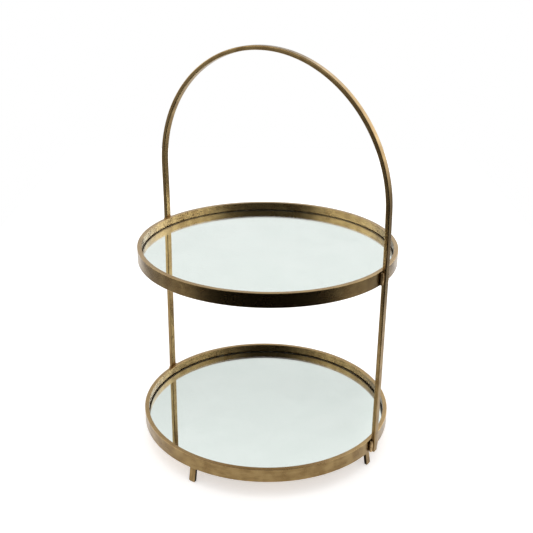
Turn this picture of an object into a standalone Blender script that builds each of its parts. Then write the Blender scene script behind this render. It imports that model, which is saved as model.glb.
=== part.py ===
"""Tiered cake stand: two mirrored trays welded between the legs of one arched bar handle.

Run it with blender --background --python part.py, or from Blender's text editor.
Units are metres and +Z is up. The origin is on the table, under the middle of the stand.
The handle stands in the XZ plane, with one leg at +X and the other at -X.
"""

import math

import bmesh
import bpy

# --- Trays: both tiers are the same ---------------------------------------------------------
TRAY_RADIUS = 0.150  # outer radius of a rim
RIM_HEIGHT = 0.016
RIM_WALL = 0.005
RIM_EDGE = 0.0008  # rounding along a rim's four corners
PLATE_RECESS = 0.001  # base plate's underside above the rim's lower edge
PLATE_THICKNESS = 0.0012
PAD_THICKNESS = 0.0008
PAD_INSET = 0.012  # how far the mounting pad stops short of the base plate's edge
MIRROR_THICKNESS = 0.003
MIRROR_ARRIS = 0.0005  # ground edge of the glass
MIRROR_CLEARANCE = 0.0005  # all round, between the glass and the rim

# --- Tiers ----------------------------------------------------------------------------------
FOOT_HEIGHT = 0.021  # table to the lower rim's lower edge
TIER_PITCH = 0.210  # lower rim to upper rim

# --- Handle: one flat bar bent into an arch --------------------------------------------------
BAR_WIDTH = 0.0075  # across the arch, along Y
BAR_THICKNESS = 0.005  # in the plane of the arch
BAR_EDGE = 0.0010
SPRING_RISE = 0.082  # where the arch springs, above the upper rim's lower edge

# --- Feet: four flat strips, splayed outwards -------------------------------------------------
FOOT_WIDTH = 0.0085
FOOT_THICKNESS = 0.0032
FOOT_SPLAY = math.radians(9.4)
FOOT_EDGE = 0.0006
FOOT_CLEARANCE = 0.0010  # foot to the rim's inner wall, at the rim's lower edge

# --- Welds ----------------------------------------------------------------------------------
LEG_WELD_RADIUS = 0.0017
LEG_WELD_MARGIN = 0.0012  # a leg's weld stops this far inside both edges of the rim
FOOT_WELD_RADIUS = 0.0012
FOOT_WELD_SHARE = 0.8  # of the foot's width
WELD_END_TAPER = 0.55  # a bead's radius at its two ends, as a share of its full radius

# --- Fits and fineness ------------------------------------------------------------------------
GAP = 0.0003  # between two pieces that touch
TURN_STEPS = 72
ARCH_STEPS = 48
EDGE_STEPS = 2
BEAD_STATIONS = 5
BEAD_ROUNDNESS = 2
SAME_POINT = 1e-5
FLAT = math.radians(1)
SHARP = math.radians(30)

# --- Derived sizes --------------------------------------------------------------------------
TRAY_BORE = TRAY_RADIUS - RIM_WALL
PLATE_TOP = PLATE_RECESS + PLATE_THICKNESS
PAD_TOP = PLATE_TOP + GAP + PAD_THICKNESS
MIRROR_TOP = PAD_TOP + GAP + MIRROR_THICKNESS
LEG_INNER = TRAY_RADIUS + GAP
LEG_OUTER = LEG_INNER + BAR_THICKNESS
SPRING_HEIGHT = FOOT_HEIGHT + TIER_PITCH + SPRING_RISE
FOOT_TOP = FOOT_HEIGHT + PLATE_RECESS - GAP

TIERS = {"lower": FOOT_HEIGHT, "upper": FOOT_HEIGHT + TIER_PITCH}
FOOT_SIDES = ("right", "back", "left", "front")

# Each finish: base colour, roughness, metallic
FINISHES = {
    "antique_brass": ((0.29, 0.19, 0.085, 1.0), 0.38, 1.0),
    "plate_brass": ((0.24, 0.16, 0.075, 1.0), 0.5, 1.0),
    "mirror": ((0.86, 0.90, 0.88, 1.0), 0.02, 1.0),
    "mounting_pad": ((0.05, 0.05, 0.05, 1.0), 0.9, 0.0),
}


def clear_scene():
    """Remove every object of the scene that Blender starts with."""
    for obj in list(bpy.data.objects):
        bpy.data.objects.remove(obj, do_unlink=True)


def make_collection(name):
    collection = bpy.data.collections.new(name)
    bpy.context.scene.collection.children.link(collection)
    return collection


def make_material(name):
    colour, roughness, metallic = FINISHES[name]
    material = bpy.data.materials.new(name)
    material.use_nodes = True
    material.diffuse_color = colour
    shader = material.node_tree.nodes["Principled BSDF"]
    shader.inputs["Base Color"].default_value = colour
    shader.inputs["Roughness"].default_value = roughness
    shader.inputs["Metallic"].default_value = metallic
    return material


def add_object(name, data, collection, material):
    """Link a new object whose mesh or curve carries the material."""
    if not data.materials:
        data.materials.append(material)
    obj = bpy.data.objects.new(name, data)
    collection.objects.link(obj)
    return obj


def round_edges(obj, width, steps=EDGE_STEPS):
    """Round every corner of a piece that is sharper than SHARP."""
    bevel = obj.modifiers.new("rounded_edges", "BEVEL")
    bevel.width = width
    bevel.segments = steps
    bevel.limit_method = "ANGLE"
    bevel.angle_limit = SHARP
    bevel.use_clamp_overlap = False
    bevel.harden_normals = True


def profile_mesh(name, points, closed):
    """A chain of edges in the XZ plane, for a Screw modifier to turn about Z."""
    mesh = bpy.data.meshes.new(name)
    edges = [(i, i + 1) for i in range(len(points) - 1)]
    if closed:
        edges.append((len(points) - 1, 0))
    mesh.from_pydata([(radius, 0.0, height) for radius, height in points], edges, [])
    return mesh


def turn(obj):
    """Turn a profile about Z. Points on the axis are merged into the poles."""
    screw = obj.modifiers.new("turned", "SCREW")
    screw.steps = TURN_STEPS
    screw.render_steps = TURN_STEPS
    screw.use_merge_vertices = True
    screw.merge_threshold = SAME_POINT
    screw.use_smooth_shade = True


def rim_mesh():
    """Section of a flat bar on edge, from its top outer corner round to its top inner one."""
    corners = [(TRAY_RADIUS, RIM_HEIGHT), (TRAY_RADIUS, 0), (TRAY_BORE, 0), (TRAY_BORE, RIM_HEIGHT)]
    return profile_mesh("rim_section", corners, closed=True)


def disc_mesh(name, radius, bottom, top):
    return profile_mesh(name, [(0, top), (radius, top), (radius, bottom), (0, bottom)], closed=False)


def build_trays(collection, finishes):
    """A rim, base plate, mounting pad and mirror for each tier, hung on one empty a tier."""
    plate_radius = TRAY_BORE - GAP
    meshes = {
        "rim": rim_mesh(),
        "base_plate": disc_mesh("base_plate", plate_radius, PLATE_RECESS, PLATE_TOP),
        "mirror_pad": disc_mesh("mirror_pad", plate_radius - PAD_INSET, PLATE_TOP + GAP, PAD_TOP),
        "mirror": disc_mesh("mirror", TRAY_BORE - MIRROR_CLEARANCE, PAD_TOP + GAP, MIRROR_TOP),
    }
    materials = {
        "rim": finishes["antique_brass"],
        "base_plate": finishes["plate_brass"],
        "mirror_pad": finishes["mounting_pad"],
        "mirror": finishes["mirror"],
    }
    for tier, height in TIERS.items():
        seat = bpy.data.objects.new(tier + "_tier", None)
        seat.location.z = height
        collection.objects.link(seat)
        for piece, mesh in meshes.items():
            obj = add_object(f"{tier}_{piece}", mesh, collection, materials[piece])
            obj.parent = seat
            turn(obj)
            if piece == "rim":
                round_edges(obj, RIM_EDGE)
            if piece == "mirror":
                round_edges(obj, MIRROR_ARRIS, steps=1)


def arc(radius, height, start, end, steps):
    """Points of an arc in the XZ plane, about the point on the Z axis at this height."""
    for i in range(steps + 1):
        angle = start + (end - start) * i / steps
        yield radius * math.cos(angle), height + radius * math.sin(angle)


def flat_bar(name, outline, width):
    """A closed outline in the XZ plane, given a width along Y that is centred on the plane."""
    curve = bpy.data.curves.new(name, "CURVE")
    curve.dimensions = "2D"
    curve.fill_mode = "BOTH"
    curve.extrude = width / 2
    spline = curve.splines.new("POLY")
    spline.points.add(len(outline) - 1)
    for point, (x, z) in zip(spline.points, outline):
        point.co = (x, z, 0, 1)
    spline.use_cyclic_u = True
    guide = bpy.data.objects.new(name, curve)
    bpy.context.scene.collection.objects.link(guide)
    graph = bpy.context.evaluated_depsgraph_get()
    mesh = bpy.data.meshes.new_from_object(guide.evaluated_get(graph))
    bpy.data.objects.remove(guide)
    stand_up(mesh)
    return mesh


def stand_up(mesh):
    """Weld a filled curve's caps, merge their triangles, and turn its plane from XY to XZ."""
    body = bmesh.new()
    body.from_mesh(mesh)
    bmesh.ops.remove_doubles(body, verts=body.verts, dist=SAME_POINT)
    bmesh.ops.dissolve_limit(body, angle_limit=FLAT, verts=body.verts, edges=body.edges)
    for vert in body.verts:
        x, z, depth = vert.co
        vert.co = (x, -depth, z)
    bmesh.ops.recalc_face_normals(body, faces=body.faces)
    body.to_mesh(mesh)
    body.free()
    mesh.shade_smooth()


def build_handle(collection, finishes):
    """Two straight legs outside the rims, joined over the top by half a circle."""
    outer = arc(LEG_OUTER, SPRING_HEIGHT, 0, math.pi, ARCH_STEPS)
    inner = arc(LEG_INNER, SPRING_HEIGHT, math.pi, 0, ARCH_STEPS)
    outline = [
        (LEG_OUTER, FOOT_HEIGHT),
        *outer,
        (-LEG_OUTER, FOOT_HEIGHT),
        (-LEG_INNER, FOOT_HEIGHT),
        *inner,
        (LEG_INNER, FOOT_HEIGHT),
    ]
    mesh = flat_bar("handle", outline, BAR_WIDTH)
    obj = add_object("handle", mesh, collection, finishes["antique_brass"])
    round_edges(obj, BAR_EDGE)


def foot_outer(height):
    """How far from the axis a foot's outer face is, at this height above the table."""
    at_rim = TRAY_BORE - FOOT_CLEARANCE
    return at_rim + (FOOT_HEIGHT - height) * math.tan(FOOT_SPLAY)


def build_feet(collection, finishes):
    """Four splayed strips under the lower base plate, cut level at the top and the sole."""
    depth = FOOT_THICKNESS / math.cos(FOOT_SPLAY)
    sole, top = foot_outer(0), foot_outer(FOOT_TOP)
    outline = [(sole, 0), (top, FOOT_TOP), (top - depth, FOOT_TOP), (sole - depth, 0)]
    mesh = flat_bar("foot", outline, FOOT_WIDTH)
    for i, side in enumerate(FOOT_SIDES):
        obj = add_object("foot_" + side, mesh, collection, finishes["antique_brass"])
        obj.rotation_euler.z = math.tau * i / len(FOOT_SIDES)
        round_edges(obj, FOOT_EDGE, steps=1)


def bead_curve(name, start, end, radius):
    """A straight weld bead whose radius falls off towards both ends."""
    curve = bpy.data.curves.new(name, "CURVE")
    curve.dimensions = "3D"
    curve.bevel_depth = radius
    curve.bevel_resolution = BEAD_ROUNDNESS
    curve.use_fill_caps = True
    spline = curve.splines.new("POLY")
    spline.points.add(BEAD_STATIONS - 1)
    for i, point in enumerate(spline.points):
        share = i / (BEAD_STATIONS - 1)
        point.co = (*(a + (b - a) * share for a, b in zip(start, end)), 1)
        point.radius = WELD_END_TAPER + (1 - WELD_END_TAPER) * math.sin(math.pi * share)
    return curve


def build_leg_welds(collection, finishes):
    """A bead in each corner between a leg and a rim: two a leg on each tier."""
    x = TRAY_RADIUS + GAP + LEG_WELD_RADIUS
    y = BAR_WIDTH / 2 + GAP + LEG_WELD_RADIUS
    for tier, height in TIERS.items():
        low, high = height + LEG_WELD_MARGIN, height + RIM_HEIGHT - LEG_WELD_MARGIN
        for side, sign_x in (("right", 1), ("left", -1)):
            for face, sign_y in (("front", -1), ("back", 1)):
                name = f"leg_weld_{tier}_{side}_{face}"
                start, end = (sign_x * x, sign_y * y, low), (sign_x * x, sign_y * y, high)
                curve = bead_curve(name, start, end, LEG_WELD_RADIUS)
                add_object(name, curve, collection, finishes["antique_brass"])


def build_foot_welds(collection, finishes):
    """A bead across the inner side of each foot, under the base plate."""
    x = foot_outer(FOOT_TOP) - FOOT_THICKNESS / math.cos(FOOT_SPLAY) - GAP - FOOT_WELD_RADIUS
    z = FOOT_TOP - FOOT_WELD_RADIUS
    half = FOOT_WIDTH * FOOT_WELD_SHARE / 2
    curve = bead_curve("foot_weld", (x, -half, z), (x, half, z), FOOT_WELD_RADIUS)
    for i, side in enumerate(FOOT_SIDES):
        obj = add_object("foot_weld_" + side, curve, collection, finishes["plate_brass"])
        obj.rotation_euler.z = math.tau * i / len(FOOT_SIDES)


def main():
    clear_scene()
    collection = make_collection("tiered_cake_stand")
    finishes = {name: make_material(name) for name in FINISHES}
    build_trays(collection, finishes)
    build_handle(collection, finishes)
    build_feet(collection, finishes)
    build_leg_welds(collection, finishes)
    build_foot_welds(collection, finishes)


main()
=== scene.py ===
"""Tiered cake stand: detailed meshes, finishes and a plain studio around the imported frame.

Units are metres, +Z is up, and the origin is on the table under the middle of the stand.
The arched handle stands in the XZ plane, with one leg at +X and the other at -X.
"""

import logging
import math
from dataclasses import dataclass
from enum import Enum

import bmesh
import bpy
from mathutils import Matrix, Vector


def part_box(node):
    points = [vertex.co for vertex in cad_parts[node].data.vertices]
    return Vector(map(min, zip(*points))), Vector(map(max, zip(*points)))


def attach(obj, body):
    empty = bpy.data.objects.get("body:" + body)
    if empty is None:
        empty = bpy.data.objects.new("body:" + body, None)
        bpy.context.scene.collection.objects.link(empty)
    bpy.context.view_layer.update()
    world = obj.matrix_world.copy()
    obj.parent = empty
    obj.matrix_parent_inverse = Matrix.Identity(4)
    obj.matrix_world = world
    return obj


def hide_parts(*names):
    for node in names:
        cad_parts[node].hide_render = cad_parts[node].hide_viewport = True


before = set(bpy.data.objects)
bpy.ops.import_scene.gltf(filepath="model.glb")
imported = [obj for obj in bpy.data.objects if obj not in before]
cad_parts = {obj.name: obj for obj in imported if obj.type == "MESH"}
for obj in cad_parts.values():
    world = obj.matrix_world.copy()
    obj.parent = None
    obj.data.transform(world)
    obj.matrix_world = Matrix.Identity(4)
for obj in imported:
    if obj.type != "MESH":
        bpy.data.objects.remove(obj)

LOG = logging.getLogger("cake_stand")
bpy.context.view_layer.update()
MM = 0.001
BODY = "root"
SAME_POINT = 1e-6
FLAT = 0.99  # a face whose normal's Z is past this is level
SECTION = "section"  # attribute: a point's place in its bar's section, in metres
MIX_FACTOR, MIX_FIRST, MIX_SECOND, MIX_COLOUR = 0, 6, 7, 2  # a Mix node's colour sockets


class Tier(Enum):
    """The two trays."""

    LOWER = "lower"
    UPPER = "upper"


class Quarter(Enum):
    """The four sides of the stand, as turns about +Z from +X."""

    RIGHT = 0.0
    BACK = math.pi / 2
    LEFT = math.pi
    FRONT = -math.pi / 2


class GrainPlane(Enum):
    """Second axis, besides X, of the plane that a bar's path lies in."""

    LEVEL = "Y"
    UPRIGHT = "Z"


# --- Small tools ------------------------------------------------------------------------------


def linear_colour(sheet: str) -> tuple[float, float, float, float]:
    """Turn an sRGB hex colour into the linear colour that shaders take.

    Args:
        sheet: Colour such as "#B08D57".

    Returns:
        Red, green, blue and alpha, linear.
    """
    shares = [int(sheet[i : i + 2], 16) / 255 for i in (1, 3, 5)]
    linear = [s / 12.92 if s <= 0.04045 else ((s + 0.055) / 1.055) ** 2.4 for s in shares]
    return (*linear, 1.0)


def add_node(
    tree: bpy.types.NodeTree, kind: str, inputs: dict | None = None, **settings: object
) -> bpy.types.Node:
    """Add one node with its settings, and set or link its inputs.

    Args:
        tree: Node tree that receives the node.
        kind: Class name of the node, such as "ShaderNodeMath".
        inputs: Socket name or number, to a value or to the output socket that feeds it.
        **settings: Properties of the node, such as operation="MULTIPLY".

    Returns:
        The new node.
    """
    node = tree.nodes.new(kind)
    for name, value in settings.items():
        setattr(node, name, value)
    for name, value in (inputs or {}).items():
        if isinstance(value, bpy.types.NodeSocket):
            tree.links.new(value, node.inputs[name])
        else:
            node.inputs[name].default_value = value
    return node


def math_node(tree: bpy.types.NodeTree, operation: str, *values: object) -> bpy.types.NodeSocket:
    """Add one Math node, set or fed in order, and return its output."""
    return add_node(tree, "ShaderNodeMath", dict(enumerate(values)), operation=operation).outputs[0]


def remap(
    tree: bpy.types.NodeTree, value: bpy.types.NodeSocket, begin: object, end: object,
    first: object = 0.0, last: object = 1.0, smooth: bool = False,
) -> bpy.types.NodeSocket:
    """Map one range onto another, held at both ends.

    Args:
        tree: Node tree that receives the node.
        value: Value that is followed.
        begin: Value that gives the first result.
        end: Value that gives the last result.
        first: Result at the beginning.
        last: Result at the end.
        smooth: Whether the step is eased at both ends.

    Returns:
        The result.
    """
    kind = "SMOOTHSTEP" if smooth else "LINEAR"
    sockets = {"Value": value, "From Min": begin, "From Max": end, "To Min": first, "To Max": last}
    return add_node(tree, "ShaderNodeMapRange", sockets, interpolation_type=kind).outputs["Result"]


def object_place(tree: bpy.types.NodeTree) -> bpy.types.NodeSocket:
    """Place on the object, in its own metres."""
    return add_node(tree, "ShaderNodeTexCoord").outputs["Object"]


def noise(
    tree: bpy.types.NodeTree, place: bpy.types.NodeSocket, size: float, detail: float
) -> bpy.types.NodeSocket:
    """Add an even noise.

    Args:
        tree: Node tree that receives the node.
        place: Point that it is read at.
        size: Size of its largest lumps.
        detail: Finer octaves that it has.

    Returns:
        The noise, from 0 to 1.
    """
    sockets = {"Vector": place, "Scale": 1 / size, "Detail": detail}
    return add_node(tree, "ShaderNodeTexNoise", sockets).outputs["Fac"]


def blend_colours(
    tree: bpy.types.NodeTree, share: bpy.types.NodeSocket, *colours: str | bpy.types.NodeSocket
) -> bpy.types.NodeSocket:
    """Mix two colours.

    Args:
        tree: Node tree that receives the node.
        share: Share of the second colour.
        *colours: Both colours, as sRGB hex or as sockets.

    Returns:
        The mixed colour.
    """
    first, second = (linear_colour(c) if isinstance(c, str) else c for c in colours)
    sockets = {MIX_FACTOR: share, MIX_FIRST: first, MIX_SECOND: second}
    return add_node(tree, "ShaderNodeMix", sockets, data_type="RGBA").outputs[MIX_COLOUR]


def shade(
    tree: bpy.types.NodeTree, colour: bpy.types.NodeSocket, level: bpy.types.NodeSocket
) -> bpy.types.NodeSocket:
    """Darken or brighten a colour."""
    sockets = {0: colour, "Scale": level}
    return add_node(tree, "ShaderNodeVectorMath", sockets, operation="SCALE").outputs[0]


def feed(
    tree: bpy.types.NodeTree, shader: bpy.types.Node, relief: float = 0.0,
    **sockets: bpy.types.NodeSocket,
) -> None:
    """Feed a shader's sockets.

    Args:
        tree: Material's node tree.
        shader: Its shader.
        relief: Depth in metres that a height of 1 stands for.
        **sockets: Shader sockets, with spaces as underscores, and what feeds them. Height goes
            through a bump.
    """
    height = sockets.pop("Height", None)
    if height:
        bump = add_node(tree, "ShaderNodeBump", {"Height": height, "Distance": relief})
        sockets["Normal"] = bump.outputs["Normal"]
    for name, socket in sockets.items():
        tree.links.new(socket, shader.inputs[name.replace("_", " ")])


def start_material(
    name: str, **sockets: object
) -> tuple[bpy.types.Material, bpy.types.NodeTree, bpy.types.Node]:
    """Start a material and set what is the same all over it on the shader itself.

    Args:
        name: Name of the real finish.
        **sockets: Shader sockets, with spaces as underscores, and their values.

    Returns:
        The material, its node tree and its Principled shader.
    """
    material = bpy.data.materials.new(name)
    material.use_nodes = True
    shader = material.node_tree.nodes["Principled BSDF"]
    for socket, value in sockets.items():
        shader.inputs[socket.replace("_", " ")].default_value = value
    return material, material.node_tree, shader


def plain_mesh(obj: bpy.types.Object) -> bpy.types.Mesh:
    """Turn an object with live modifiers into a plain mesh, and remove the object.

    Args:
        obj: Object to evaluate.

    Returns:
        The evaluated mesh.
    """
    bpy.context.view_layer.update()
    graph = bpy.context.evaluated_depsgraph_get()
    mesh = bpy.data.meshes.new_from_object(obj.evaluated_get(graph), depsgraph=graph)
    bpy.data.objects.remove(obj)
    return mesh


def soften(obj: bpy.types.Object, width: float, limit: float) -> None:
    """Round an object's sharp edges, and keep its flats flat in the light.

    Args:
        obj: Object to finish.
        width: Width of the rounding.
        limit: Smallest turn between two faces that counts as a sharp edge.
    """
    bevel = obj.modifiers.new("rounding", "BEVEL")
    bevel.width = width
    bevel.segments = 3
    bevel.limit_method = "ANGLE"
    bevel.angle_limit = limit
    bevel.use_clamp_overlap = False
    normals = obj.modifiers.new("flats", "WEIGHTED_NORMAL")
    normals.keep_sharp = True


def turned_mesh(
    name: str, profile: list[tuple[float, float]], steps: int, *finishes: bpy.types.Material
) -> bpy.types.Mesh:
    """Turn a profile of radii and heights about Z into a closed body.

    Args:
        name: Name of the mesh.
        profile: Points from the axis, out and round, back to the axis.
        steps: Faces round the body.
        *finishes: Its materials; every face starts with the first.

    Returns:
        The mesh, with its normals outward.
    """
    body = bmesh.new()
    chain = [body.verts.new((radius, 0.0, height)) for radius, height in profile]
    edges = [body.edges.new(pair) for pair in zip(chain, chain[1:])]
    bmesh.ops.spin(
        body, geom=chain + edges, axis=(0, 0, 1), cent=(0, 0, 0), angle=math.tau, steps=steps
    )
    bmesh.ops.remove_doubles(body, verts=body.verts, dist=SAME_POINT)
    bmesh.ops.recalc_face_normals(body, faces=body.faces)
    mesh = bpy.data.meshes.new(name)
    body.to_mesh(mesh)
    body.free()
    mesh.shade_smooth()
    mesh.set_sharp_from_angle(angle=math.radians(30))
    for finish in finishes:
        mesh.materials.append(finish)
    return mesh


def add_piece(name: str, mesh: bpy.types.Mesh, slot: str, *nodes: str) -> None:
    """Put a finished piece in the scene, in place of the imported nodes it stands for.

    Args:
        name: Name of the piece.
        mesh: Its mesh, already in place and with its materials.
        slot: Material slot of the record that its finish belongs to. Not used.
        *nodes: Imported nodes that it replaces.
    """
    mesh.name = name
    obj = bpy.data.objects.new(name, mesh)
    bpy.context.scene.collection.objects.link(obj)
    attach(obj, BODY)
    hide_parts(*nodes)
    LOG.info("%s: %d faces, stands for %s", name, len(mesh.polygons), ", ".join(nodes))


# --- Geometry Nodes ---------------------------------------------------------------------------


class Recipe:
    """A Geometry Nodes tree with named inputs for its sizes."""

    def __init__(self, name: str, *sizes: str) -> None:
        """Start the tree.

        Args:
            name: Name of the tree.
            *sizes: Names of its inputs, all in metres or plain numbers.
        """
        self.tree = bpy.data.node_groups.new(name, "GeometryNodeTree")
        sockets = self.tree.interface
        sockets.new_socket("Geometry", in_out="OUTPUT", socket_type="NodeSocketGeometry")
        self.keys = {}
        for size in sizes:
            socket = sockets.new_socket(size, in_out="INPUT", socket_type="NodeSocketFloat")
            self.keys[size] = socket.identifier
        socket = sockets.new_socket("Finish", in_out="INPUT", socket_type="NodeSocketMaterial")
        self.keys["Finish"] = socket.identifier
        self.size = add_node(self.tree, "NodeGroupInput").outputs

    def add(self, kind: str, inputs: dict | None = None, **settings: object) -> bpy.types.Node:
        """Add one node to this tree."""
        return add_node(self.tree, kind, inputs, **settings)

    def math(self, operation: str, *values: object) -> bpy.types.NodeSocket:
        """Add one Math node to this tree."""
        return math_node(self.tree, operation, *values)

    def uneven(self, scale: object) -> bpy.types.NodeOutputs:
        """Add a seeded noise over the place.

        Args:
            scale: How often it repeats in a metre.

        Returns:
            Its outputs.
        """
        place = self.add("GeometryNodeInputPosition").outputs[0]
        sockets = {"Vector": place, "W": self.size["Seed"], "Scale": scale, "Detail": 1.0}
        return self.add("ShaderNodeTexNoise", sockets, noise_dimensions="4D").outputs

    def wander(self, curve: bpy.types.NodeSocket) -> bpy.types.NodeSocket:
        """Let a path wander by a hand-bent bar's small unevenness.

        Args:
            curve: The true path.

        Returns:
            The path, moved by up to half the input "Waviness" along each axis.
        """
        lumps = self.uneven(self.math("DIVIDE", 1.0, self.size["Wave Length"]))
        centred = self.add(
            "ShaderNodeVectorMath", {0: lumps["Color"], 1: (0.5, 0.5, 0.5)}, operation="SUBTRACT"
        )
        offset = shade(self.tree, centred.outputs[0], self.size["Waviness"])
        return self.add("GeometryNodeSetPosition", {"Geometry": curve, "Offset": offset}).outputs[0]

    def sweep_bar(self, path: bpy.types.NodeSocket) -> bpy.types.NodeSocket:
        """Sweep a flat bar's rounded section along a path in the XY plane.

        The section's depth lies in that plane and its width along Z. Each point keeps its
        place in the section as an attribute.

        Args:
            path: The bar's middle line.

        Returns:
            The bar's mesh.
        """
        outline = self.add(
            "GeometryNodeCurvePrimitiveQuadrilateral",
            {"Width": self.size["Depth"], "Height": self.size["Width"]},
        )
        rounded = self.add(
            "GeometryNodeFilletCurve",
            {"Curve": outline.outputs[0], "Count": 4, "Radius": self.size["Corner"]},
            mode="POLY",
        )
        place = self.add("GeometryNodeInputPosition")
        section = self.add(
            "GeometryNodeStoreNamedAttribute",
            {"Geometry": rounded.outputs[0], "Name": SECTION, "Value": place.outputs[0]},
            data_type="FLOAT_VECTOR",
            domain="POINT",
        )
        upright = self.add("GeometryNodeSetCurveNormal", {"Curve": path}, mode="Z_UP")
        bar = self.add(
            "GeometryNodeCurveToMesh",
            {"Curve": upright.outputs[0], "Profile Curve": section.outputs[0], "Fill Caps": True},
        )
        smooth = self.add(
            "GeometryNodeSetShadeSmooth", {"Geometry": bar.outputs[0], "Shade Smooth": True}
        )
        return smooth.outputs[0]

    def finish(self, geometry: bpy.types.NodeSocket) -> None:
        """End the tree: realise every instance and give the material.

        Args:
            geometry: What the tree has made.
        """
        real = self.add("GeometryNodeRealizeInstances", {"Geometry": geometry})
        dressed = self.add(
            "GeometryNodeSetMaterial",
            {"Geometry": real.outputs[0], "Material": self.size["Finish"]},
        )
        self.add("NodeGroupOutput", {"Geometry": dressed.outputs[0]})

    def grow(self, name: str, **values: object) -> bpy.types.Object:
        """Make an object that carries the tree, with its inputs set.

        Args:
            name: Name of the object.
            **values: Inputs, with spaces as underscores, and their values.

        Returns:
            The object, with its modifier live.
        """
        obj = bpy.data.objects.new(name, bpy.data.meshes.new(name))
        bpy.context.scene.collection.objects.link(obj)
        modifier = obj.modifiers.new(self.tree.name, "NODES")
        modifier.node_group = self.tree
        for size, value in values.items():
            modifier[self.keys[size.replace("_", " ")]] = value
        return obj


def ring_recipe() -> Recipe:
    """Write the tree for a flat bar on edge, rolled into a ring.

    Returns:
        The recipe.
    """
    recipe = Recipe(
        "rolled_ring", "Radius", "Middle Height", "Depth", "Width", "Corner", "Stations",
        "Waviness", "Wave Length", "Seed",
    )
    circle = recipe.add(
        "GeometryNodeCurvePrimitiveCircle",
        {"Radius": recipe.size["Radius"], "Resolution": recipe.size["Stations"]},
    )
    lift = recipe.add("ShaderNodeCombineXYZ", {"Z": recipe.size["Middle Height"]})
    raised = recipe.add(
        "GeometryNodeTransform",
        {"Geometry": circle.outputs[0], "Translation": lift.outputs[0]},
    )
    recipe.finish(recipe.sweep_bar(recipe.wander(raised.outputs[0])))
    return recipe


def arch_recipe() -> Recipe:
    """Write the tree for a flat bar bent into two straight legs and half a circle.

    The path's length is used up in three parts: up one leg, round the bend, down the other
    leg. It is laid out flat in XY and then stood up about X.

    Returns:
        The recipe.
    """
    recipe = Recipe(
        "bent_arch", "Radius", "Leg", "Base Height", "Lean", "Lean From", "Depth", "Width",
        "Corner", "Stations", "Waviness", "Wave Length", "Seed",
    )
    size, add, solve = recipe.size, recipe.add, recipe.math
    radius, leg, base = size["Radius"], size["Leg"], size["Base Height"]
    line = add("GeometryNodeCurvePrimitiveLine", {"End": (0.0, 1.0, 0.0)})
    points = add("GeometryNodeResampleCurve", {"Curve": line.outputs[0], "Count": size["Stations"]})
    share = add("GeometryNodeSplineParameter").outputs["Factor"]
    bend = solve("MULTIPLY", radius, math.pi)
    travelled = solve("MULTIPLY", share, solve("MULTIPLY_ADD", leg, 2.0, bend))
    up = solve("MINIMUM", travelled, leg)
    past_up = solve("SUBTRACT", travelled, leg)
    down = solve("MAXIMUM", solve("SUBTRACT", past_up, bend), 0.0)
    turned = solve("DIVIDE", past_up, radius)
    angle = add("ShaderNodeClamp", {"Value": turned, "Max": math.pi}).outputs[0]
    across = solve("MULTIPLY", solve("COSINE", angle), solve("MULTIPLY", radius, -1.0))
    on_legs = solve("SUBTRACT", up, down)
    above = solve("MULTIPLY_ADD", solve("SINE", angle), radius, on_legs)
    height = solve("ADD", above, base)
    apex = solve("ADD", solve("ADD", radius, base), leg)
    shift = remap(recipe.tree, height, size["Lean From"], apex, 0.0, size["Lean"], smooth=True)
    place = add("ShaderNodeCombineXYZ", {"X": solve("ADD", across, shift), "Y": height})
    path = add(
        "GeometryNodeSetPosition", {"Geometry": points.outputs[0], "Position": place.outputs[0]}
    )
    bar = recipe.sweep_bar(recipe.wander(path.outputs[0]))
    stood = add("GeometryNodeTransform", {"Geometry": bar, "Rotation": (math.pi / 2, 0.0, 0.0)})
    recipe.finish(stood.outputs[0])
    return recipe


def bead_recipe() -> Recipe:
    """Write the tree for a weld bead: a straight run of overlapping ripples along Z.

    Each ripple is the arch of a sine, its place drifts with a noise, and the bead's two ends
    taper.

    Returns:
        The recipe.
    """
    recipe = Recipe(
        "weld_bead", "Length", "Radius", "Ripple", "Ripple Depth", "Drift", "Drift Scale",
        "End Taper", "End Fullness", "Stations", "Sides", "Seed",
    )
    size, add, solve = recipe.size, recipe.add, recipe.math
    start = add("ShaderNodeCombineXYZ", {"Z": solve("MULTIPLY", size["Length"], -0.5)})
    line = add(
        "GeometryNodeCurvePrimitiveLine",
        {"Start": start.outputs[0], "Direction": (0.0, 0.0, 1.0), "Length": size["Length"]},
        mode="DIRECTION",
    )
    stations = add("GeometryNodeResampleCurve", {"Curve": line.outputs[0], "Count": size["Stations"]})
    along = add("GeometryNodeSplineParameter").outputs
    uneven = recipe.uneven(size["Drift Scale"])["Fac"]
    drifted = solve("MULTIPLY_ADD", uneven, size["Drift"], along["Length"])
    within = solve("FRACT", solve("DIVIDE", drifted, size["Ripple"]))
    wave = solve("SINE", solve("MULTIPLY", within, math.pi))
    ripple = solve("MULTIPLY_ADD", wave, size["Ripple Depth"], 1.0)
    hump = solve("SINE", solve("MULTIPLY", along["Factor"], math.pi))
    full = solve("POWER", hump, size["End Fullness"])
    taper = remap(recipe.tree, full, 0.0, 1.0, size["End Taper"], 1.0)
    radius = solve("MULTIPLY", solve("MULTIPLY", ripple, taper), size["Radius"])
    profile = add("GeometryNodeCurvePrimitiveCircle", {"Resolution": size["Sides"], "Radius": 1.0})
    bead = add(
        "GeometryNodeCurveToMesh",
        {
            "Curve": stations.outputs[0], "Profile Curve": profile.outputs[0],
            "Scale": radius, "Fill Caps": True,
        },
    )
    smooth = add("GeometryNodeSetShadeSmooth", {"Geometry": bead.outputs[0], "Shade Smooth": True})
    recipe.finish(smooth.outputs[0])
    return recipe


# --- Finishes ---------------------------------------------------------------------------------


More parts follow.
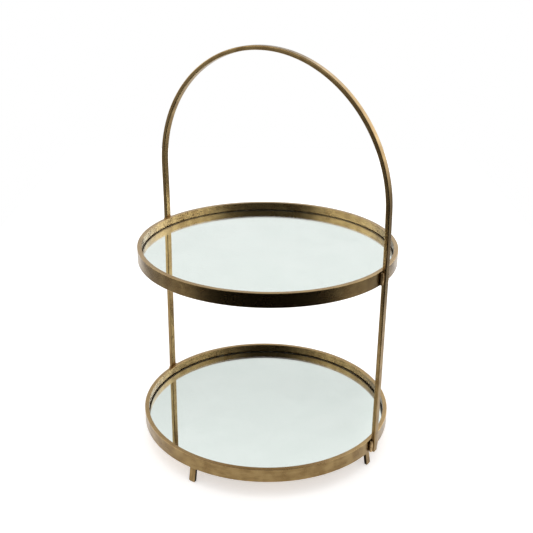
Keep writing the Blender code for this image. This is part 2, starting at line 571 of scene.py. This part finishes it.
@dataclass(frozen=True)
class AntiqueBrass:
    """Brass bar, darkened with patina, brushed along its length and thinly lacquered.

    The eye gets a warm satin metal with fine lengthwise streaks, soft brown clouds of patina,
    and long corners where the patina has worn off. The narrow sides can take an edge colour too:
    worn bare brass on the ring, and on the feet a near-black painted shade.
    """

    name: str
    plane: GrainPlane
    half_depth: float
    half_width: float
    edge_wear_and_shade: float = 0.0  # share of the edge colour on the bar's two narrow sides: worn brass on the ring, painted shade on the feet
    bright: str = "#927B53"
    patina: str = "#7A6340"
    # The edge colour: worn bare brass on the ring; the feet set it near-black as painted shade.
    rubbed_and_shaded: str = "#BFA273"
    streak: float = 0.5 * MM  # real streaks are nearer 0.1 mm, too fine to show
    streak_length: float = 9 * MM
    band: float = 2.4 * MM
    band_length: float = 20 * MM
    cloud: float = 12 * MM
    pit: float = 1.1 * MM
    smooth: float = 0.25
    dull: float = 0.28
    corner: float = 0.7 * MM
    corner_wear: float = 0.35
    relief: float = 0.002 * MM
    streak_relief: float = 0.15  # depth of the streaks, as a share of the relief

    def grain(
        self, tree: bpy.types.NodeTree, across: float, along: float
    ) -> bpy.types.NodeSocket:
        """Noise drawn out along the bar's path, with no seam anywhere.

        Args:
            tree: Material's node tree.
            across: Size of a streak across the bar.
            along: Size of a streak along the bar.

        Returns:
            The noise, from 0 to 1.
        """
        drawn_out = add_node(
            tree, "ShaderNodeVectorMath", {0: object_place(tree), 1: (across / along,) * 3},
            operation="MULTIPLY",
        )
        in_section = self.section(tree)
        on_path = add_node(tree, "ShaderNodeSeparateXYZ", {0: drawn_out.outputs[0]}).outputs
        point = add_node(
            tree, "ShaderNodeCombineXYZ",
            {"X": in_section["X"], "Y": in_section["Y"], "Z": on_path["X"]},
        )
        streaks = add_node(
            tree, "ShaderNodeTexNoise",
            {
                "Vector": point.outputs[0], "W": on_path[self.plane.value],
                "Scale": 1 / across, "Detail": 1.0, "Roughness": 0.6,
            },
            noise_dimensions="4D",
        )
        return streaks.outputs["Fac"]

    def section(self, tree: bpy.types.NodeTree, unsigned: bool = False) -> bpy.types.NodeOutputs:
        """Place in the bar's section, in metres.

        Args:
            tree: Material's node tree.
            unsigned: Whether both coordinates lose their signs.

        Returns:
            The coordinates: X through the bar's depth, Y up its width.
        """
        place = add_node(tree, "ShaderNodeAttribute", attribute_name=SECTION).outputs["Vector"]
        if unsigned:
            place = add_node(
                tree, "ShaderNodeVectorMath", {0: place}, operation="ABSOLUTE"
            ).outputs[0]
        return add_node(tree, "ShaderNodeSeparateXYZ", {0: place}).outputs

    def wear_and_shade(self, tree: bpy.types.NodeTree) -> bpy.types.NodeSocket:
        """How much of the edge colour shows, on the four long corners and the narrow sides: worn patina,
        and on the feet's narrow sides painted shade.

        Args:
            tree: Material's node tree.

        Returns:
            0 on the broad flats, rising towards 1 where the edge colour shows fully.
        """
        reach = self.section(tree, unsigned=True)
        near_face, near_side = (
            remap(tree, reach[axis], half - self.corner, half, smooth=True)
            for axis, half in (("X", self.half_depth), ("Y", self.half_width))
        )
        corners = math_node(tree, "MULTIPLY", near_face, self.corner_wear)
        share = math_node(tree, "MAXIMUM", corners, self.edge_wear_and_shade)
        return math_node(tree, "MULTIPLY", share, near_side)

    def material(self) -> bpy.types.Material:
        """Build the material.

        Returns:
            The finish, for a bar that carries the section attribute.
        """
        material, tree, shader = start_material(self.name, Metallic=1.0)
        place = object_place(tree)
        streaks = self.grain(tree, self.streak, self.streak_length)
        bands = self.grain(tree, self.band, self.band_length)
        clouds = noise(tree, place, self.cloud, 1.0)
        pits = noise(tree, place, self.pit, 1.0)
        mottle = math_node(tree, "MULTIPLY_ADD", bands, 0.5, clouds)
        darkened = remap(tree, mottle, 0.5, 1.0, smooth=True)
        metal = blend_colours(tree, darkened, self.bright, self.patina)
        shaded = shade(tree, metal, remap(tree, streaks, 0.3, 0.7, 0.96, 1.04))
        feed(
            tree, shader, self.relief,
            Base_Color=blend_colours(tree, self.wear_and_shade(tree), shaded, self.rubbed_and_shaded),
            Roughness=remap(tree, mottle, 0.5, 1.0, self.smooth, self.dull),
            Height=math_node(tree, "MULTIPLY_ADD", streaks, self.streak_relief, pits),
        )
        return material


@dataclass(frozen=True)
class WeldBrass:
    """Brazed bead under the same patina: lumpy, duller, with dark heat stains in patches that follow a
    noise.
    """

    name: str = "brazed_bead_brass"
    bright: str = "#BFA276"
    stain: str = "#5A4327"
    grit: float = 0.8 * MM
    cloud: float = 4 * MM
    relief: float = 0.06 * MM

    def material(self) -> bpy.types.Material:
        """Build the material.

        Returns:
            The finish.
        """
        material, tree, shader = start_material(self.name, Metallic=1.0)
        place = object_place(tree)
        stained = remap(tree, noise(tree, place, self.cloud, 3.0), 0.38, 0.66)
        grit = noise(tree, place, self.grit, 2.0)
        feed(
            tree, shader, self.relief,
            Base_Color=blend_colours(tree, stained, self.bright, self.stain),
            Roughness=remap(tree, grit, 0.0, 1.0, 0.28, 0.52),
            Height=grit,
        )
        return material


@dataclass(frozen=True)
class SheetBrass:
    """Rolled brass sheet, linished one way and darkened: the undersides of the trays."""

    name: str = "linished_brass_sheet"
    bright: str = "#B4966A"
    patina: str = "#80643F"
    streak: float = 0.7 * MM
    streak_length: float = 60 * MM
    cloud: float = 45 * MM
    relief: float = 0.02 * MM

    def material(self) -> bpy.types.Material:
        """Build the material.

        Returns:
            The finish.
        """
        material, tree, shader = start_material(self.name, Metallic=1.0)
        place = object_place(tree)
        drawn_out = add_node(
            tree, "ShaderNodeVectorMath",
            {0: place, 1: (1 / self.streak_length, 1 / self.streak, 1 / self.streak)},
            operation="MULTIPLY",
        )
        streaks = add_node(
            tree, "ShaderNodeTexNoise",
            {"Vector": drawn_out.outputs[0], "Scale": 1.0, "Detail": 3.0, "Roughness": 0.6},
        ).outputs["Fac"]
        darkened = remap(tree, noise(tree, place, self.cloud, 5.0), 0.36, 0.64, smooth=True)
        metal = blend_colours(tree, darkened, self.bright, self.patina)
        feed(
            tree, shader, self.relief,
            Base_Color=shade(tree, metal, remap(tree, streaks, 0.3, 0.7, 0.82, 1.12)),
            Roughness=remap(tree, streaks, 0.0, 1.0, 0.30, 0.50),
            Height=streaks,
        )
        return material


@dataclass(frozen=True)
class FloatGlass:
    """Clear 3 mm float glass: a faint green cast, and a trace of smear on its face."""

    name: str = "clear_float_glass"
    cast: str = "#EEF6F2"
    clear: str = "#F6FBF8"
    smear: float = 40 * MM

    def material(self) -> bpy.types.Material:
        """Build the material.

        Returns:
            The finish.
        """
        material, tree, shader = start_material(self.name, IOR=1.52, Transmission_Weight=1.0)
        smears = noise(tree, object_place(tree), self.smear, 4.0)
        feed(
            tree, shader,
            Base_Color=blend_colours(tree, smears, self.cast, self.clear),
            Roughness=remap(tree, smears, 0.45, 1.0, 0.0, 0.02),
        )
        return material


@dataclass(frozen=True)
class ShadedGlassEdge:
    """The glass's ground edge, coloured near-black: painted shade for the dark line in the narrow gap
    between the glass and the rim's wall.
    """

    name: str = "shaded_glass_edge"
    paler_shade: str = "#3A362E"
    deeper_shade: str = "#16140F"
    grit: float = 0.3 * MM

    def material(self) -> bpy.types.Material:
        """Build the material.

        Returns:
            The finish.
        """
        material, tree, shader = start_material(self.name, IOR=1.5)
        grit = noise(tree, object_place(tree), self.grit, 3.0)
        feed(
            tree, shader,
            Base_Color=blend_colours(tree, grit, self.paler_shade, self.deeper_shade),
            Roughness=remap(tree, grit, 0.0, 1.0, 0.45, 0.8),
        )
        return material


@dataclass(frozen=True)
class Silvering:
    """Silver on the back of the glass: a nearly perfect reflector, very slightly cool."""

    name: str = "mirror_silvering"
    bright: str = "#F5F7F6"
    tarnish: str = "#E9EDEB"
    cloud: float = 60 * MM

    def material(self) -> bpy.types.Material:
        """Build the material.

        Returns:
            The finish.
        """
        material, tree, shader = start_material(self.name, Metallic=1.0, Roughness=0.015)
        clouds = noise(tree, object_place(tree), self.cloud, 4.0)
        feed(tree, shader, Base_Color=blend_colours(tree, clouds, self.bright, self.tarnish))
        return material


@dataclass(frozen=True)
class FoamTape:
    """Closed-cell mounting foam: matt charcoal with fine open pores on its cut edge."""

    name: str = "closed_cell_foam"
    body: str = "#2A2A2B"
    pore: str = "#161617"
    cell: float = 0.5 * MM
    relief: float = 0.15 * MM

    def material(self) -> bpy.types.Material:
        """Build the material.

        Returns:
            The finish.
        """
        material, tree, shader = start_material(self.name, Roughness=0.92)
        cells = add_node(
            tree, "ShaderNodeTexVoronoi", {"Vector": object_place(tree), "Scale": 1 / self.cell}
        ).outputs["Distance"]
        feed(
            tree, shader, self.relief,
            Base_Color=blend_colours(tree, cells, self.pore, self.body), Height=cells,
        )
        return material


# --- Sub-assemblies ---------------------------------------------------------------------------


@dataclass
class Tray:
    """One tier: rolled rim, base plate, mounting pad and second-surface mirror."""

    tier: Tier
    ring: Recipe
    brass: bpy.types.Material
    sheet: bpy.types.Material
    glass: bpy.types.Material
    edge: bpy.types.Material
    silver: bpy.types.Material
    foam: bpy.types.Material
    seed: float
    wall: float = 5 * MM
    corner: float = 0.45 * MM
    waviness: float = 0.14 * MM
    wave_length: float = 55 * MM
    stations: int = 420
    arris: float = 0.5 * MM
    plate_edge: float = 0.4 * MM
    edge_steps: int = 4
    turns: int = 288

    def node(self, part: str) -> str:
        """Name of this tier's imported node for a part."""
        return f"{self.tier.value}_{part}"

    def build_rim(self) -> None:
        """Roll the flat bar into the rim."""
        low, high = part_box(self.node("rim"))
        obj = self.ring.grow(
            self.node("rolled_rim"), Radius=high.x - self.wall / 2, Middle_Height=(low.z + high.z) / 2,
            Depth=self.wall, Width=high.z - low.z, Corner=self.corner, Stations=float(self.stations),
            Waviness=self.waviness, Wave_Length=self.wave_length, Seed=self.seed, Finish=self.brass,
        )
        normals = obj.modifiers.new("flats", "WEIGHTED_NORMAL")
        normals.keep_sharp = True
        add_piece(self.node("rolled_rim"), plain_mesh(obj), "antique_brass", self.node("rim"))

    def build_plate(self) -> None:
        """Turn the base plate, with its sheared edge rounded over."""
        low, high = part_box(self.node("base_plate"))
        radius, edge = high.x, self.plate_edge
        corner = [math.pi / 2 * i / self.edge_steps for i in range(self.edge_steps + 1)]
        top = [(radius - edge + edge * math.sin(a), high.z - edge + edge * math.cos(a)) for a in corner]
        under = [(radius - edge + edge * math.cos(a), low.z + edge - edge * math.sin(a)) for a in corner]
        profile = [(0.0, high.z), *top, *under, (0.0, low.z)]
        mesh = turned_mesh("base_plate", profile, self.turns, self.sheet)
        add_piece(self.node("base_sheet"), mesh, "plate_brass", self.node("base_plate"))

    def build_mirror(self) -> None:
        """Turn the glass, silvered underneath and ground round its edge."""
        low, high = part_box(self.node("mirror"))
        radius, arris = high.x, self.arris
        profile = [
            (0.0, high.z), (radius - arris, high.z), (radius, high.z - arris),
            (radius, low.z + arris), (radius - arris, low.z), (0.0, low.z),
        ]
        mesh = turned_mesh("mirror", profile, self.turns, self.glass, self.edge, self.silver)
        for face in mesh.polygons:  # material 0 is the glass, 1 its edge in painted shade, 2 its silvered back
            if face.normal.z < -FLAT:
                face.material_index = 2
            elif face.normal.z < FLAT:
                face.material_index = 1
        add_piece(self.node("mirror_glass"), mesh, "mirror", self.node("mirror"))

    def dress_pad(self) -> None:
        """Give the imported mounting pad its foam."""
        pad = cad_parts[self.node("mirror_pad")]
        pad.data.materials.clear()
        pad.data.materials.append(self.foam)
        LOG.info("%s: packed shape kept, foam finish", pad.name)

    def build(self) -> None:
        """Build every part of the tier."""
        self.build_rim()
        self.build_plate()
        self.build_mirror()
        self.dress_pad()


@dataclass
class ArchHandle:
    """One flat bar, bent into the arch and both legs."""

    arch: Recipe
    brass: bpy.types.Material
    thickness: float = 5 * MM
    corner: float = 1.0 * MM
    end_rounding: float = 0.6 * MM
    lean: float = -3.7 * MM  # at the apex: the arch was bent by hand, a little out of true
    waviness: float = 0.14 * MM
    wave_length: float = 60 * MM
    stations: int = 420
    seed: float = 7.0

    def build(self) -> None:
        """Bend the bar, and round its two sawn ends."""
        low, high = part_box("handle")
        rim_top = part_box("upper_rim")[1].z
        radius = high.x - self.thickness / 2
        obj = self.arch.grow(
            "arch_handle", Radius=radius, Leg=high.z - high.x - low.z, Base_Height=low.z,
            Lean=self.lean, Lean_From=rim_top,
            Depth=self.thickness, Width=high.y - low.y, Corner=self.corner,
            Stations=float(self.stations), Waviness=self.waviness, Wave_Length=self.wave_length,
            Seed=self.seed, Finish=self.brass,
        )
        soften(obj, self.end_rounding, math.radians(60))
        add_piece("arch_handle", plain_mesh(obj), "antique_brass", "handle")


@dataclass
class Foot:
    """A splayed strip under the lower tray, with its lower corners rounded off."""

    quarter: Quarter
    brass: bpy.types.Material
    thickness: float = 3.2 * MM
    width: float = 8.5 * MM
    splay: float = math.radians(9.4)
    sole_corner: float = 1.5 * MM
    edge: float = 0.45 * MM
    corner_steps: int = 5

    def outline(self, height: float) -> list[tuple[float, float]]:
        """Front outline of the strip.

        Args:
            height: Height of its top above its sole.

        Returns:
            Points across the strip and up it, from the top left corner round the sole.
        """
        half, corner = self.width / 2, self.sole_corner
        turn = [math.pi / 2 * i / self.corner_steps for i in range(self.corner_steps + 1)]
        left = [(-half + corner - corner * math.cos(a), corner - corner * math.sin(a)) for a in turn]
        right = [(half - corner + corner * math.sin(a), corner - corner * math.cos(a)) for a in turn]
        return [(-half, height), *left, *right, (half, height)]

    def build(self) -> None:
        """Cut, splay and round the strip, and turn it to its side of the stand."""
        node = "foot_" + self.quarter.name.lower()
        outer_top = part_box("foot_right")[1]
        depth = self.thickness / math.cos(self.splay)
        body = bmesh.new()
        section = body.verts.layers.float_vector.new(SECTION)
        face = body.faces.new([body.verts.new((0.0, y, z)) for y, z in self.outline(outer_top.z)])
        inner = bmesh.ops.extrude_face_region(body, geom=[face])["geom"]
        for vert in (item for item in inner if isinstance(item, bmesh.types.BMVert)):
            vert.co.x = -depth
        for vert in body.verts:
            vert[section] = (vert.co.x + depth / 2, vert.co.y, 0.0)
            vert.co.x += outer_top.x - vert.co.z * math.tan(self.splay)
        bmesh.ops.recalc_face_normals(body, faces=body.faces)
        mesh = bpy.data.meshes.new(node)
        body.to_mesh(mesh)
        body.free()
        mesh.transform(Matrix.Rotation(self.quarter.value, 4, "Z"))
        mesh.shade_smooth()
        mesh.materials.append(self.brass)
        obj = bpy.data.objects.new(node, mesh)
        bpy.context.scene.collection.objects.link(obj)
        soften(obj, self.edge, math.radians(50))
        add_piece("splayed_" + node, plain_mesh(obj), "antique_brass", node)


@dataclass
class WeldRun:
    """One weld bead, laid where a packed bead is and bedded into its neighbours."""

    node: str
    bead: Recipe
    brass: bpy.types.Material
    slot: str
    seed: float
    bedding: float = 0.35 * MM
    ripple: float = 1.5 * MM
    ripple_depth: float = 0.14
    drift: float = 1.2 * MM
    drift_scale: float = 260.0
    end_taper: float = 0.5
    end_fullness: float = 0.45
    stations: int = 56
    sides: int = 14

    def build(self) -> None:
        """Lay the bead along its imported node's longest side."""
        low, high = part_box(self.node)
        size, middle = high - low, (low + high) / 2
        longest = max(range(3), key=lambda axis: size[axis])
        radius = min(size) / 2
        obj = self.bead.grow(
            self.node, Length=size[longest] + 2 * self.bedding, Radius=radius + self.bedding,
            Ripple=self.ripple, Ripple_Depth=self.ripple_depth, Drift=self.drift,
            Drift_Scale=self.drift_scale, End_Taper=self.end_taper, End_Fullness=self.end_fullness,
            Stations=float(self.stations), Sides=float(self.sides),
            Seed=self.seed, Finish=self.brass,
        )
        mesh = plain_mesh(obj)
        direction = Vector([float(axis == longest) for axis in range(3)])
        turn = Vector((0.0, 0.0, 1.0)).rotation_difference(direction).to_matrix().to_4x4()
        mesh.transform(Matrix.Translation(middle) @ turn)
        add_piece("bead_" + self.node, mesh, self.slot, self.node)


# --- Studio -----------------------------------------------------------------------------------


@dataclass(frozen=True)
class Camera:
    """The camera, by where it stands and how it is turned."""

    azimuth: float = math.radians(34.43)  # from -Y towards +X
    distance: float = 0.9251  # over the floor, from the stand's axis
    height: float = 0.5911
    pan: float = math.radians(-0.07)  # to the right of the axis
    tilt: float = math.radians(22.11)
    roll: float = math.radians(0.62)
    lens: float = 57.49
    sensor: float = 36.0

    def build(self) -> None:
        """Place the camera and make it the scene's."""
        heading = self.pan - self.azimuth
        level = Vector((math.cos(heading), -math.sin(heading), 0.0))
        ahead = Vector((math.sin(heading), math.cos(heading), 0.0)) * math.cos(self.tilt)
        ahead.z = -math.sin(self.tilt)
        above = level.cross(ahead)
        right = level * math.cos(self.roll) + above * math.sin(self.roll)
        top = above * math.cos(self.roll) - level * math.sin(self.roll)
        data = bpy.data.cameras.new("studio_camera")
        data.lens = self.lens
        data.sensor_width = self.sensor
        data.clip_start = 0.05
        obj = bpy.data.objects.new("studio_camera", data)
        bpy.context.scene.collection.objects.link(obj)
        place = Vector((math.sin(self.azimuth), -math.cos(self.azimuth), 0.0)) * self.distance
        place.z = self.height
        turn = Matrix((right, top, -ahead)).transposed().to_4x4()
        obj.matrix_world = Matrix.Translation(place) @ turn
        bpy.context.scene.camera = obj


@dataclass(frozen=True)
class Studio:
    """A white room with one unlit side behind the camera, brighter sides, and a white table.

    Turns run from the unlit side, and rises from the horizon. The window is a soft bright patch
    of wall, and the spot is the darkest part of the unlit side, where the camera stands.
    """

    dark_azimuth: float = Camera.azimuth
    dark_rise: float = math.radians(-22)
    dark_inner: float = math.radians(40)
    dark_outer: float = math.radians(78)
    dark_level: float = 0.01
    glow_level: float = 0.2
    spot_rise: float = math.radians(29)
    spot_inner: float = math.radians(9)
    spot_outer: float = math.radians(30)
    spot_level: float = 0.08
    below_level: float = 0.36
    horizon_level: float = 0.9
    peak_level: float = 1.02
    zenith_level: float = 0.6
    side_gain: float = 1.8
    window_turn: float = math.radians(140.0)
    window_rise: float = math.radians(29)
    window_inner: float = math.radians(14)
    window_outer: float = math.radians(29)
    window_gain: float = 1.6
    fill_level: float = 0.75
    backdrop_level: float = 1.0
    table_glow: float = 0.5
    table_front: float = 0.27
    table_side: float = 0.55
    table_back: float = 1.4
    table_fibre: float = 25 * MM
    softbox_height: float = 2.2
    softbox_size: float = 1.6
    softbox_power: float = 6.0

    def axis(self, turn: float, rise: float) -> tuple[float, float, float]:
        """Direction of a place in the room.

        Args:
            turn: Its turn from the unlit side.
            rise: Its rise above the horizon.

        Returns:
            A unit vector.
        """
        level = math.cos(rise)
        azimuth = self.dark_azimuth + turn
        return (math.sin(azimuth) * level, -math.cos(azimuth) * level, math.sin(rise))

    def blend(
        self, tree: bpy.types.NodeTree, start: float,
        *steps: tuple[bpy.types.NodeSocket, float, float, float, float],
    ) -> bpy.types.NodeSocket:
        """Multiply eased steps together.

        Args:
            tree: World's node tree.
            start: First factor.
            *steps: For each, the value it follows, the two values it runs between, and the
                factors at those two.

        Returns:
            The product.
        """
        product = start
        for step in steps:
            product = math_node(tree, "MULTIPLY", product, remap(tree, *step, smooth=True))
        return product

    def room_level(self, tree: bpy.types.NodeTree) -> bpy.types.NodeSocket:
        """Brightness of the room in each direction.

        Args:
            tree: World's node tree.

        Returns:
            The brightness.
        """
        toward = add_node(tree, "ShaderNodeTexCoord").outputs["Generated"]
        rise = add_node(tree, "ShaderNodeSeparateXYZ", {0: toward}).outputs["Z"]
        axes = (
            self.axis(0.0, self.dark_rise), self.axis(math.pi / 2, 0.0),
            self.axis(self.window_turn, self.window_rise), self.axis(0.0, self.spot_rise),
        )
        to_dark, across, to_window, to_spot = (
            add_node(
                tree, "ShaderNodeVectorMath", {0: toward, 1: axis}, operation="DOT_PRODUCT"
            ).outputs["Value"]
            for axis in axes
        )
        sideways = math_node(tree, "ABSOLUTE", across)
        outer, inner = math.cos(self.dark_outer), math.cos(self.dark_inner)
        walls = self.blend(
            tree, self.horizon_level,
            (to_dark, outer, inner, 1.0, self.dark_level),
            (rise, -0.12, 0.0, self.below_level / self.horizon_level, 1.0),  # floor
            (rise, 0.0, 0.38, 1.0, self.peak_level / self.horizon_level),  # walls, brighter upward
            (rise, 0.39, 0.46, 1.0, 0.86),  # a duller strip where the ceiling starts
            (rise, 0.49, 0.58, 1.0, 1.14),
            (rise, 0.6, 0.9, 1.0, self.zenith_level / self.peak_level),  # ceiling
            (to_spot, math.cos(self.spot_outer), math.cos(self.spot_inner), 1.0, self.spot_level),
        )
        glow = self.blend(
            tree, self.glow_level,
            (to_dark, outer, inner, 0.0, 1.0),
            (rise, -0.1, 0.1, 0.0, 1.0),
            (rise, 0.34, 0.46, 1.0, 0.0),
        )
        sides = self.blend(
            tree, self.side_gain,
            (sideways, 0.55, 0.9, 0.0, 1.0),
            (rise, -0.1, 0.06, 0.15, 1.0),
            (rise, 0.34, 0.5, 1.0, 0.3),
        )
        window = self.blend(
            tree, self.window_gain,
            (to_window, math.cos(self.window_outer), math.cos(self.window_inner), 0.0, 1.0),
        )
        gain = math_node(tree, "ADD", sides, window)
        level = math_node(tree, "MULTIPLY_ADD", walls, gain, walls)
        return math_node(tree, "ADD", level, glow)

    def build_world(self) -> None:
        """Light the room softly from all round, but not from its unlit side.

        Matt surfaces get an even fill, and the camera sees a plain white backdrop.
        """
        world = bpy.data.worlds.new("soft_white_room")
        world.use_nodes = True
        world.cycles.sampling_method = "NONE"
        tree = world.node_tree
        tree.nodes.clear()
        white = linear_colour("#FFFFFF")
        room, fill, backdrop = (
            add_node(tree, "ShaderNodeBackground", {"Color": white, "Strength": level}).outputs[0]
            for level in (self.room_level(tree), self.fill_level, self.backdrop_level)
        )
        ray = add_node(tree, "ShaderNodeLightPath").outputs
        lit = add_node(tree, "ShaderNodeMixShader", {0: ray["Is Diffuse Ray"], 1: room, 2: fill})
        both = add_node(
            tree, "ShaderNodeMixShader", {0: ray["Is Camera Ray"], 1: lit.outputs[0], 2: backdrop}
        )
        add_node(tree, "ShaderNodeOutputWorld", {"Surface": both.outputs[0]})
        bpy.context.scene.world = world

    def build_table(self) -> None:
        """Lay the white table top, whose front edge is just outside the camera's view. Its even glow,
        from emission, is painted light that lifts the stand's shadows on it.
        """
        side, front, back = self.table_side, self.table_front, self.table_back
        body = bmesh.new()
        corners = [(-side, -front), (side, -front), (side, back), (-side, back)]
        body.faces.new([body.verts.new((x, y, 0.0)) for x, y in corners])
        mesh = bpy.data.meshes.new("pale_table")
        body.to_mesh(mesh)
        body.free()
        mesh.transform(Matrix.Rotation(self.dark_azimuth, 4, "Z"))
        material, tree, shader = start_material(
            "lit_white_board", Roughness=0.75, Emission_Color=linear_colour("#FFFFFF"),
            Emission_Strength=self.table_glow,
        )
        fibre = noise(tree, object_place(tree), self.table_fibre, 3.0)
        feed(tree, shader, Base_Color=blend_colours(tree, fibre, "#FAFAFA", "#F6F6F6"))
        mesh.materials.append(material)
        obj = bpy.data.objects.new("pale_table", mesh)
        bpy.context.scene.collection.objects.link(obj)

    def build_softbox(self) -> None:
        """Hang the square softbox over the stand. Mirrors and metal don't show it."""
        data = bpy.data.lights.new("overhead_softbox", "AREA")
        data.size = self.softbox_size
        data.energy = self.softbox_power
        obj = bpy.data.objects.new("overhead_softbox", data)
        obj.location = (0.0, 0.0, self.softbox_height)
        obj.visible_glossy = False
        bpy.context.scene.collection.objects.link(obj)

    def build(self) -> None:
        """Build the room, the table and the light."""
        bpy.context.scene.view_settings.view_transform = "Standard"
        self.build_world()
        self.build_table()
        self.build_softbox()


def build_stand() -> None:
    """Build every sub-assembly of the stand, in the order it would be put together."""
    rim_low, rim_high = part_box("upper_rim")
    bar_low, bar_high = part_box("handle")
    wall, bar_thickness = Tray.wall, ArchHandle.thickness
    ring_brass = AntiqueBrass(
        "antique_brass_ring", GrainPlane.LEVEL, wall / 2, (rim_high.z - rim_low.z) / 2, edge_wear_and_shade=0.4
    ).material()
    bar_brass = AntiqueBrass(
        "antique_brass_bar", GrainPlane.UPRIGHT, bar_thickness / 2, (bar_high.y - bar_low.y) / 2
    ).material()
    # The feet's narrow sides take a near-black edge colour: painted shade for their dark sides under the
    # tray.
    foot_brass = AntiqueBrass(
        "antique_brass_strip", GrainPlane.UPRIGHT, Foot.thickness / 2, Foot.width / 2,
        edge_wear_and_shade=0.96, rubbed_and_shaded="#16120B", corner_wear=0.0, corner=0.6 * MM,
    ).material()
    bead_brass = WeldBrass().material()
    sheet, glass, edge = SheetBrass().material(), FloatGlass().material(), ShadedGlassEdge().material()
    silver, foam = Silvering().material(), FoamTape().material()
    ring, arch, bead = ring_recipe(), arch_recipe(), bead_recipe()
    for seed, tier in enumerate(Tier, start=1):
        Tray(tier, ring, ring_brass, sheet, glass, edge, silver, foam, float(seed)).build()
    ArchHandle(arch, bar_brass).build()
    for quarter in Quarter:
        Foot(quarter, foot_brass).build()
    welds = sorted(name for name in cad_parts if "_weld_" in name)
    for seed, node in enumerate(welds):
        slot = "plate_brass" if node.startswith("foot") else "antique_brass"
        WeldRun(node, bead, bead_brass, slot, 3.1 * seed).build()


def main() -> None:
    """Set the camera, the studio and the stand."""
    logging.basicConfig(level=logging.INFO, format="%(name)s: %(message)s")
    Camera().build()
    Studio().build()
    build_stand()


if __name__ == "__main__":
    main()
